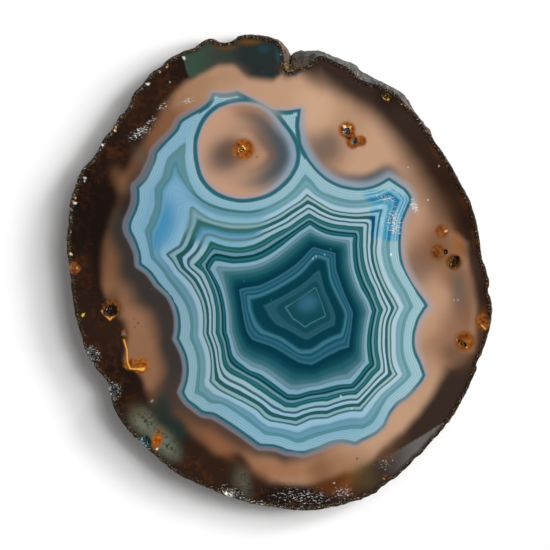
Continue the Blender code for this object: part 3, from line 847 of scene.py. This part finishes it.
# The polished face is chalcedony, cut and lapped to a glassy polish. The bands were dyed teal by
# an iron salt that soaked into the porous layers only, so some layers stay pale. The colour
# comes from the level of each point, in four stages from the outermost line to the heart.
STAGES = [
    (-10, 24, [
        (-10, "6f7a84"), (-2.2, "6f7a84"), (-1.2, "4f7482"), (-0.6, "2f6874"), (0.5, "2d6672"),
        (1.2, "4a868c"), (1.9, "a0bccb"), (2.5, "a9c6d2"), (3.1, "86b1bc"), (3.8, "9fc6d0"),
        (4.6, "a3c3cf"), (5.1, "84aebc"), (5.7, "9cc3cd"), (6.4, "a1c6d3"), (7.0, "8ab6c3"),
        (7.7, "97c0d0"), (8.9, "93bccf"), (9.5, "7aa3ad"), (9.9, "6a918d"), (10.6, "68969c"),
        (11.3, "6699a2"), (11.8, "588e94"), (12.4, "6c9fab"), (13.6, "7aa8b5"), (16.4, "719dab"),
        (17.4, "93b9c8"), (18.3, "aacad9"), (21.5, "aacad9"), (22.1, "4f7478"), (23.1, "4f7478"),
        (23.7, "97babe"), (24, "97babe"),
    ]),
    (24, 47, [
        (24, "97babe"), (25.2, "97babe"), (25.8, "2c5d62"), (28.1, "2c5d62"), (28.7, "aacad8"),
        (30.4, "aacad8"), (31.0, "3f676d"), (32.2, "3f676d"), (32.9, "a0c0cc"), (35.1, "a0c0cc"),
        (35.8, "24625f"), (37.0, "24625f"), (37.5, "31747a"), (38.1, "31747a"), (38.5, "265a66"),
        (39.1, "265a66"), (39.7, "6c97a5"), (41.1, "6c97a5"), (41.8, "07434a"), (43.1, "07434a"),
        (43.5, "2b6a71"), (44.2, "2b6a71"), (44.7, "1e5b65"), (45.9, "1e5b65"), (46.5, "84adc0"),
        (47, "84adc0"),
    ]),
    (47, 64, [
        (47, "84adc0"), (48.4, "84adc0"), (49.0, "658b9b"), (50.1, "658b9b"), (50.8, "68929d"),
        (51.8, "44747f"), (53.6, "3a6c77"), (54.8, "28616c"), (57.0, "1d5964"), (58.2, "134b59"),
        (60.2, "0e4351"), (61.6, "063a49"), (64, "063a49"),
    ]),
    (64, 101, [
        (64, "063a49"), (64.7, "306678"), (65.6, "35697c"), (66.3, "1f576a"), (67.0, "1f576a"),
        (67.6, "2f687c"), (68.4, "2f687c"), (69.0, "1c5568"), (70.0, "1c5568"), (70.8, "40798b"),
        (72.0, "3a7384"), (73.0, "17525f"), (74.2, "0a3f4c"), (79.2, "083d49"), (80.3, "2b5c6b"),
        (81.2, "2a5c6b"), (81.8, "215462"), (82.5, "2a5a68"), (84.4, "245563"), (85.6, "164a57"),
        (89.2, "164a57"), (90, "477884"), (90.9, "124c55"), (101, "124c55"),
    ]),
]
CLOUDED = (9, 36, [
    (9, "8dadc3"), (9.9, "48757b"), (11.6, "4c7c80"), (12.8, "6fa0a8"), (15, "6a9cac"), (17, "86b0bf"),
    (18.5, "90bccd"), (21, "94bccd"), (22.6, "6a8c8c"), (24.4, "8fb5b8"), (25.8, "3a6b68"),
    (27.2, "3f7476"), (28.6, "5590a8"), (30.2, "74a3bf"), (31.8, "5c8180"), (33.2, "7db0c6"),
    (35.3, "7db0c6"), (36, "24625f"),
])
STAINED = (-3, 36, [
    (-3, "6f96a8"), (-0.9, "105a7c"), (1.1, "166684"), (1.9, "7fb4c9"), (3, "4189a8"), (4.5, "90c2d4"),
    (5.7, "3a86ab"), (7, "80b8cd"), (8.5, "5b9fb9"), (9.6, "22719b"), (11.8, "22759f"), (13, "5faac2"),
    (14.5, "3d8caa"), (16.4, "529cb8"), (18, "8dc0d3"), (21, "7fb6cd"), (22.3, "1f6a8d"),
    (23.2, "1f6a8d"), (24, "8dbdd0"), (25.4, "70a9c2"), (26, "10486d"), (28, "10486d"), (29, "8fc0d2"),
    (30.6, "7aafc5"), (31.6, "1d5b7c"), (33, "8fbcca"), (36, "24625f"),
])
# How far the first layers hide the ground, by level.
BAND_COVER = ((-2.2, -1.2, -0.6), (0.0, 0.7, 1.0))
# Pattern scales are given as features in a millimetre.
MILLIMETRE = 1000.0


# In a mix of colours, inputs 6 and 7 are the two colours, and output 2 is the result.
def add(tree, kind, inputs=None, marks=(), **settings):
    """Adds a node to a tree with its settings, its values, the links into it and a ramp's marks."""
    node = tree.nodes.new("ShaderNode" + kind)
    for name, value in settings.items():
        setattr(node, name, value)
    for name, value in (inputs or {}).items():
        if isinstance(value, bpy.types.NodeSocket):
            tree.links.new(value, node.inputs[name])
        else:
            node.inputs[name].default_value = value
    for _ in marks[2:]:
        node.color_ramp.elements.new(0.5)
    for number, (at, _) in enumerate(marks):
        node.color_ramp.elements[number].position = at
    for number, (_, colour) in enumerate(marks):
        node.color_ramp.elements[number].color = colour
    return node


def new_material(name):
    """A material with an empty node tree."""
    material = bpy.data.materials.new(name)
    material.use_nodes = True
    material.node_tree.nodes.clear()
    return material, material.node_tree


def band_ramp(tree, level, stage):
    """The colours of one stage of the growth, looked up by level."""
    low, high, stops = stage
    share = add(tree, "MapRange", {"Value": level, "From Min": low, "From Max": high})
    marks = [((at - low) / (high - low), linear(colour) + [float(np.interp(at, *BAND_COVER))])
             for at, colour in stops]
    return add(tree, "ValToRGB", {"Fac": share.outputs[0]}, marks)


# Polished chalcedony: glassy and smooth, dull only on the crust and the frost. A growth line swings
# about every 3 mm, the ground clouds every 8 mm and mottles every 2 mm, and rust frays every 1 mm.
# Crust grains are 0.4 mm wide, and the strokes of frost are 0.3 mm wide and 0.9 mm long.
polish, tree = new_material("polished_chalcedony")
place = add(tree, "TexCoord").outputs["Object"]
layers = {
    name: add(tree, "Attribute", attribute_name=name).outputs
    for name in ("level", "ground", "rim", "mottled", "rust", "rust tint", "frost", "faded", "blue stain",
                 "pool", "lagoon", "heart", "lichen", "pale ring", "tint_and_painted_light", "marks")
}
wander = add(tree, "TexNoise", {"Vector": place, "Scale": 0.35 * MILLIMETRE, "Detail": 2.0})
drift = add(tree, "MapRange", {"Value": wander.outputs["Fac"], "To Min": -0.35, "To Max": 0.35})
level_here = add(tree, "Math", {0: layers["level"]["Fac"], 1: drift.outputs[0]}, operation="ADD").outputs[0]
bands = band_ramp(tree, level_here, STAGES[0])
cover = bands.outputs["Alpha"]
band_colour = bands.outputs["Color"]
for stage in STAGES[1:]:
    ramp = band_ramp(tree, level_here, stage)
    past = add(tree, "Math", {0: level_here, 1: float(stage[0])}, operation="GREATER_THAN")
    band_colour = add(tree, "Mix", {0: past.outputs[0], 6: band_colour, 7: ramp.outputs["Color"]},
                      data_type="RGBA").outputs[2]

# The layers at the upper left are clouded, and the first layer is pale in places.
cloudy = band_ramp(tree, level_here, CLOUDED)
after = add(tree, "MapRange", {"Value": level_here, "From Min": 9.4, "From Max": 10.4})
before = add(tree, "MapRange", {"Value": level_here, "From Min": 35.9, "From Max": 35.0})
fade = add(tree, "MapRange", {"Value": layers["faded"]["Fac"], "From Min": 0.25, "From Max": 0.65},
           interpolation_type="SMOOTHSTEP")
fade = add(tree, "Math", {0: fade.outputs[0], 1: after.outputs[0]}, operation="MULTIPLY")
fade = add(tree, "Math", {0: fade.outputs[0], 1: before.outputs[0]}, operation="MULTIPLY")
band_colour = add(tree, "Mix", {0: fade.outputs[0], 6: band_colour, 7: cloudy.outputs["Color"]},
                  data_type="RGBA").outputs[2]
ring_end = add(tree, "MapRange", {"Value": level_here, "From Min": 2.4, "From Max": 0.9})
pale_ring = add(tree, "Math", {0: ring_end.outputs[0], 1: layers["pale ring"]["Fac"]},
                operation="MULTIPLY")
band_colour = add(tree, "Mix", {0: pale_ring.outputs[0], 6: band_colour, 7: linear("8f9794") + [1]},
                  data_type="RGBA").outputs[2]
# The side tone multiplies in here: painted light from the right, and the blue tints.
band_colour = add(tree, "Mix", {0: 1.0, 6: band_colour, 7: layers["tint_and_painted_light"]["Color"]},
                  data_type="RGBA", blend_type="MULTIPLY").outputs[2]

# The open water: one wide layer that is deeper blue on the left, and the soft heart.
pool_in = add(tree, "MapRange", {"Value": level_here, "From Min": 11.9, "From Max": 13.6})
pool_out = add(tree, "MapRange", {"Value": level_here, "From Min": 22.0, "From Max": 20.5})
open_water = add(tree, "Math", {0: pool_in.outputs[0], 1: pool_out.outputs[0]}, operation="MULTIPLY")
for name, tint in (("lagoon", "78a8c3"), ("pool", "458aaf")):
    wet = add(tree, "Math", {0: open_water.outputs[0], 1: layers[name]["Fac"]}, operation="MULTIPLY")
    band_colour = add(tree, "Mix", {0: wet.outputs[0], 6: band_colour, 7: linear(tint) + [1]},
                      data_type="RGBA").outputs[2]
band_colour = add(tree, "Mix", {0: layers["heart"]["Fac"], 6: band_colour, 7: linear("2f647a") + [1]},
                  data_type="RGBA").outputs[2]

# The finest layers, then the blue stain that frays across the bands on the right.
fine = add(tree, "TexNoise", {"W": level_here, "Scale": 1.9, "Detail": 3.0}, noise_dimensions="1D")
fine = add(tree, "MapRange", {"Value": fine.outputs["Fac"], "From Min": 0.3, "From Max": 0.7,
                              "To Min": 0.94, "To Max": 1.06})
band_colour = add(tree, "Mix", {0: 1.0, 6: band_colour, 7: fine.outputs[0]},
                  data_type="RGBA", blend_type="MULTIPLY").outputs[2]
crazed = add(tree, "TexNoise", {"Vector": place, "Scale": 0.9 * MILLIMETRE, "Detail": 5.0, "Roughness": 0.65})
stain = add(tree, "Math", {0: crazed.outputs["Fac"], 1: 0.9, 2: layers["blue stain"]["Fac"]},
            operation="MULTIPLY_ADD")
stain = add(tree, "MapRange", {"Value": stain.outputs[0], "From Min": 0.7, "From Max": 1.05})
stained = band_ramp(tree, level_here, STAINED)
band_colour = add(tree, "Mix", {0: stain.outputs[0], 6: band_colour, 7: stained.outputs["Color"]},
                  data_type="RGBA").outputs[2]

# The ground: brown mottling, lichen tufts, the crust at the rim and the rust spots, in turn.
clouds = add(tree, "TexNoise", {"Vector": place, "Scale": 0.13 * MILLIMETRE, "Detail": 3.0})
mottle = add(tree, "TexNoise", {"Vector": place, "Scale": 0.6 * MILLIMETRE, "Detail": 6.0, "Roughness": 0.62})
mottle = add(tree, "Math", {0: mottle.outputs["Fac"], 1: clouds.outputs["Fac"]}, operation="ADD")
patch = add(tree, "MapRange", {"Value": mottle.outputs[0], "From Min": 0.98, "From Max": 1.42})
patch = add(tree, "Math", {0: patch.outputs[0], 1: layers["mottled"]["Fac"]}, operation="MULTIPLY")
tufts = add(tree, "MapRange", {"Value": crazed.outputs["Fac"], "From Min": 0.5, "From Max": 0.64})
tufts = add(tree, "Math", {0: tufts.outputs[0], 1: layers["lichen"]["Fac"]}, operation="MULTIPLY")
skin = add(tree, "MapRange", {"Value": layers["rim"]["Fac"], "From Min": 5.5, "From Max": 2.0})
grains = add(tree, "TexNoise", {"Vector": place, "Scale": 2.4 * MILLIMETRE, "Detail": 5.0, "Roughness": 0.6})
crust = add(tree, "ValToRGB", {"Fac": grains.outputs["Fac"]}, [
    (0.47, linear("080504") + [1]), (0.59, linear("30200f") + [1]), (0.69, linear("b08a4c") + [1])])
rust_edge = add(tree, "Math", {0: crazed.outputs["Fac"], 1: 0.8, 2: layers["rust"]["Fac"]},
                operation="MULTIPLY_ADD")
rust = add(tree, "MapRange", {"Value": rust_edge.outputs[0], "From Min": 0.52, "From Max": 0.95})
brown_rust, orange_rust = (
    add(tree, "ValToRGB", {"Fac": crazed.outputs["Fac"]},
        [(0.36, linear(deep) + [1]), (0.66, linear(bright) + [1])]).outputs["Color"]
    for deep, bright in (("3f2413", "744a2a"), ("702c08", "c47226"))
)
rusty = add(tree, "Mix", {0: layers["rust tint"]["Fac"], 6: brown_rust, 7: orange_rust},
            data_type="RGBA").outputs[2]
ground = layers["ground"]["Color"]
for share, stain in ((patch, linear("5a321a") + [1]), (tufts, linear("2a241a") + [1]),
                     (skin, crust.outputs["Color"]), (rust, rusty)):
    ground = add(tree, "Mix", {0: share.outputs[0], 6: ground, 7: stain}, data_type="RGBA").outputs[2]

# The bands lie over the ground, and the frost with the painted rim glints, the threads and the specks over
# both.
colour = add(tree, "Mix", {0: cover, 6: ground, 7: band_colour}, data_type="RGBA").outputs[2]
slanted = add(tree, "Mapping", {"Vector": place, "Rotation": (0, 0, math.radians(38)),
                                "Scale": (0.6, 1.6, 1)})
glints = add(tree, "TexNoise", {"Vector": slanted.outputs[0], "Scale": 1.9 * MILLIMETRE, "Detail": 3.0,
                                "Roughness": 0.75})
frost = add(tree, "Math", {0: layers["frost"]["Fac"], 1: 0.26, 2: glints.outputs["Fac"]},
            operation="MULTIPLY_ADD")
frost = add(tree, "MapRange", {"Value": frost.outputs[0], "From Min": 0.79, "From Max": 0.9})
for share, layer in ((frost.outputs[0], linear("d6d6d2") + [1]),
                     (layers["marks"]["Alpha"], layers["marks"]["Color"])):
    colour = add(tree, "Mix", {0: share, 6: colour, 7: layer}, data_type="RGBA").outputs[2]
dull = add(tree, "Math", {0: skin.outputs[0], 1: frost.outputs[0]}, operation="MAXIMUM")
rough = add(tree, "MapRange", {"Value": dull.outputs[0], "To Min": 0.12, "To Max": 0.2})
relief = add(tree, "Math", {0: dull.outputs[0], 1: grains.outputs["Fac"]}, operation="MULTIPLY")
bump = add(tree, "Bump", {"Height": relief.outputs[0], "Strength": 0.5, "Distance": 0.0003})
shader = add(tree, "BsdfPrincipled", {"Base Color": colour, "Roughness": rough.outputs[0], "IOR": 1.54,
                                      "Normal": bump.outputs[0]})
add(tree, "OutputMaterial", {"Surface": shader.outputs[0]})


# The rind keeps the rough skin of the nodule: a dark crust of iron stain and clay in the pits
# of weathered chalcedony, and bone grey where the crust has worn off on the upper right.
# Weathered stone: matt and knobbly, in 2 mm lumps with grit of about 0.45 mm.
rind, tree = new_material("weathered_rind")
place = add(tree, "TexCoord").outputs["Object"]
pale = add(tree, "Attribute", attribute_name="worn rind")
ground = add(tree, "Attribute", attribute_name="ground")
coarse = add(tree, "TexNoise", {"Vector": place, "Scale": 0.5 * MILLIMETRE, "Detail": 8.0, "Roughness": 0.65})
grit = add(tree, "TexNoise", {"Vector": place, "Scale": 2.2 * MILLIMETRE, "Detail": 4.0})
dark = add(tree, "ValToRGB", {"Fac": coarse.outputs["Fac"]},
           [(0.36, linear("17110d") + [1]), (0.66, linear("6a4420") + [1])])
height = add(tree, "Math", {0: coarse.outputs["Fac"], 1: grit.outputs["Fac"]}, operation="ADD")
blotch = add(tree, "Math", {0: height.outputs[0], 1: 0.5}, operation="MULTIPLY")
worn = add(tree, "ValToRGB", {"Fac": blotch.outputs[0]},
           [(0.49, linear("0a0908") + [1]), (0.6, linear("726e6a") + [1])])
skin = add(tree, "Mix", {0: pale.outputs["Fac"], 6: dark.outputs["Color"], 7: worn.outputs["Color"]},
           data_type="RGBA")
speck = add(tree, "MapRange", {"Value": grit.outputs["Fac"], "From Min": 0.64, "From Max": 0.7})
skin = add(tree, "Mix", {0: speck.outputs[0], 6: skin.outputs[2], 7: linear("c8b48c") + [1]},
           data_type="RGBA")

# The cavities are lined with quartz faces of about 0.4 mm, each one brighter or darker. This is
# painted light: a painted glint on the brightest faces and painted shade in the dark gaps between them.
druse = add(tree, "Attribute", attribute_name="druse")
facets = add(tree, "TexVoronoi", {"Vector": place, "Scale": 2.6 * MILLIMETRE})
shine = add(tree, "ValToRGB", {"Fac": facets.outputs["Color"]},
            [(0.34, (0.03, 0.03, 0.03, 1)), (0.56, (0.4, 0.4, 0.4, 1)), (0.72, (1.6, 1.6, 1.6, 1))])
lining_with_painted_light = add(tree, "Mix", {0: 1.0, 6: druse.outputs["Color"], 7: shine.outputs["Color"]},
              data_type="RGBA", blend_type="MULTIPLY")
skin = add(tree, "Mix", {0: druse.outputs["Alpha"], 6: skin.outputs[2], 7: lining_with_painted_light.outputs[2]},
           data_type="RGBA")
bump = add(tree, "Bump", {"Height": height.outputs[0], "Strength": 0.8, "Distance": 0.0005})
shader = add(tree, "BsdfPrincipled", {"Base Color": skin.outputs[2], "Roughness": 0.62, "IOR": 1.54,
                                      "Normal": bump.outputs[0]})
add(tree, "OutputMaterial", {"Surface": shader.outputs[0]})
paint(stone_mesh, "worn rind", np.clip(RIM_GREY_STRENGTH * blob(plan, *RIM_GREY), 0, 1))
stone_mesh.materials.append(polish)
stone_mesh.materials.append(rind)
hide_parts("agate_slice")
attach(agate, "root")


# The druse: small quartz points that grew in the open cavities, clear to milky, and gold or honey
# brown where iron coats them. Each is a six-sided prism under a six-sided point.
DRUSE_SHADES = {
    "gold": "e0a040", "silver": "b4b6b4", "yellow": "c8a040", "honey": "8a5a30",
    "dark honey": "4a2c16", "sea": "6f9a98", "white": "e8e2d4", "old gold": "6e5420",
}
POINTS_PER_MILLIMETRE = 5
POINT_RADIUS, POINT_LENGTH = (0.00012, 0.0003), (0.0004, 0.0009)
POINT_SIDES = 6
POINT_LEAN = 0.7
POINT_SHOULDER = 0.62
DRUSE_REACH = 0.85
BELOW_FACE = 5e-5
BURIED = 0.0001
LINING_SPREAD, LINING_EDGE, LINING_DEPTH = 1.25, 0.3, 1.4
CAVITY_FLOOR = 0.92
RIM_GAP = 1.0

druse_cover = np.zeros((len(plan), 4))
for x, y, long, wide, turn, depth, name in CAVITIES:
    close = blob(plan, x, y, long * LINING_SPREAD, wide * LINING_SPREAD, turn) > LINING_EDGE
    sunk = (places[:, 2] < FACE_HEIGHT - BELOW_FACE) & (places[:, 2] > FACE_HEIGHT - depth * LINING_DEPTH)
    druse_cover[close & sunk] = linear(DRUSE_SHADES[name]) + [1]
paint(stone_mesh, "druse", druse_cover)

chance = random.Random(7)
points_mesh = bmesh.new()
coats = []
for x, y, long, wide, turn, depth, name in CAVITIES:
    area = math.pi * long * wide * (UNIT * MILLIMETRE) ** 2
    for _ in range(int(area * POINTS_PER_MILLIMETRE) + 4):
        away, angle = math.sqrt(chance.random()) * DRUSE_REACH, chance.uniform(0, 2 * math.pi)
        dx, dy = away * long * math.cos(angle), away * wide * math.sin(angle)
        swing = math.radians(turn)
        spot = np.array([[x + dx * math.cos(swing) - dy * math.sin(swing),
                          y + dx * math.sin(swing) + dy * math.cos(swing)]])
        radius, length = chance.uniform(*POINT_RADIUS), chance.uniform(*POINT_LENGTH)
        lean = Vector((chance.uniform(-1, 1), chance.uniform(-1, 1), 0)) * POINT_LEAN + Vector((0, 0, 1))
        shade = 1.5 * chance.random() ** 1.7 + 0.05
        if not inside(spot, *polished_rim)[0] or distance(spot, *polished_rim)[0] < RIM_GAP:
            continue
        floor = FACE_HEIGHT - depth * math.sqrt(1 - away ** 2) * CAVITY_FLOOR
        foot = Vector((*in_metres(spot)[0], floor - BURIED))
        lean = lean.normalized()
        length = min(length, (FACE_HEIGHT - BELOW_FACE - foot.z) / lean.z)
        side = lean.orthogonal().normalized()
        other = lean.cross(side)
        rings = []
        for share in (0, POINT_SHOULDER):
            rings.append([points_mesh.verts.new(foot + lean * length * share + radius * (
                side * math.cos(k * math.tau / POINT_SIDES) + other * math.sin(k * math.tau / POINT_SIDES)))
                for k in range(POINT_SIDES)])
        tip = points_mesh.verts.new(foot + lean * length)
        for k in range(POINT_SIDES):
            after = (k + 1) % POINT_SIDES
            points_mesh.faces.new((rings[0][k], rings[0][after], rings[1][after], rings[1][k]))
            points_mesh.faces.new((rings[1][k], rings[1][after], tip))
        points_mesh.faces.new(list(reversed(rings[0])))
        coats += [[min(c * shade, 1.0) for c in linear(DRUSE_SHADES[name])] + [1]] * (2 * POINT_SIDES + 1)
druse_mesh = bpy.data.meshes.new("quartz_druse")
points_mesh.to_mesh(druse_mesh)
points_mesh.free()
paint(druse_mesh, "coat", np.array(coats))
quartz_druse = placed("quartz_druse", druse_mesh)
# Grown quartz: smooth, glassy faces, each with its own sharp glint.
quartz, tree = new_material("quartz_points")
coat = add(tree, "Attribute", attribute_name="coat")
shader = add(tree, "BsdfPrincipled", {"Base Color": coat.outputs["Color"], "Roughness": 0.12, "IOR": 1.54})
add(tree, "OutputMaterial", {"Surface": shader.outputs[0]})
druse_mesh.materials.append(quartz)
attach(quartz_druse, "root")


# The floor is a sheet of white card. The softboxes stand on the right and the upper right, each a
# soft sun, so that a long soft shadow falls to the left and the lower left. The walls glow a little,
# and it is dark overhead, so that the polish stays clear from above.
CAMERA_HEIGHT = 1.2
PICTURE = 550
SENSOR = 36
FLOOR_REACH, FLOOR_DROP = 3, 1e-4
TEETH_ACROSS = 400.0
WALL_GLOW = 0.33
SOFTBOXES = [
    (22, 7, 16, 1.4), (24, 31, 16, 1.6), (42, 2, 24, 0.3), (46, 58, 30, 0.45), (42, 14, 26, 0.7),
    (52, 12, 40, 0.55),
]

floor_mesh = bpy.data.meshes.new("floor")
corners = [(x * FLOOR_REACH, y * FLOOR_REACH, -FLOOR_DROP) for x, y in ((-1, -1), (1, -1), (1, 1), (-1, 1))]
floor_mesh.from_pydata(corners, [], [(0, 1, 2, 3)])
floor = placed("floor", floor_mesh)
# Uncoated card: matt and without shine. Its tooth is too fine to show, so it is drawn 15 mm wide.
card, tree = new_material("white_card")
tooth = add(tree, "TexNoise", {"Scale": TEETH_ACROSS})
shade = add(tree, "MapRange", {"Value": tooth.outputs["Fac"], "To Min": 0.985, "To Max": 1.0})
shader = add(tree, "BsdfPrincipled", {"Base Color": shade.outputs[0], "Roughness": 0.9})
add(tree, "OutputMaterial", {"Surface": shader.outputs[0]})
floor_mesh.materials.append(card)

for elevation, direction, softness, strength in SOFTBOXES:
    sun = bpy.data.lights.new("softbox", "SUN")
    sun.angle = math.radians(softness)
    sun.energy = strength
    lamp = placed("softbox", sun)
    lamp.rotation_euler = (0, math.radians(90 - elevation), math.radians(direction))

world = bpy.data.worlds.new("studio")
bpy.context.scene.world = world
world.use_nodes = True
tree = world.node_tree
tree.nodes.clear()
up = add(tree, "SeparateXYZ", {0: add(tree, "TexCoord").outputs["Generated"]}).outputs["Z"]
walls = add(tree, "MapRange", {"Value": up, "From Min": 0.75, "From Max": 0.95, "To Min": WALL_GLOW,
                               "To Max": 0.0})
sky = add(tree, "Background", {"Color": (1, 1, 1, 1), "Strength": walls.outputs[0]})
add(tree, "OutputWorld", {"Surface": sky.outputs[0]})

camera = bpy.data.cameras.new("camera")
camera.sensor_width = SENSOR
camera.lens = SENSOR * (CAMERA_HEIGHT - FACE_HEIGHT) / (PICTURE * UNIT)
viewer = placed("camera", camera)
centre = in_metres([(PICTURE / 2, PICTURE / 2)])[0]
viewer.location = (centre[0], centre[1], CAMERA_HEIGHT)
bpy.context.scene.camera = viewer
bpy.context.scene.view_settings.view_transform = "Standard"
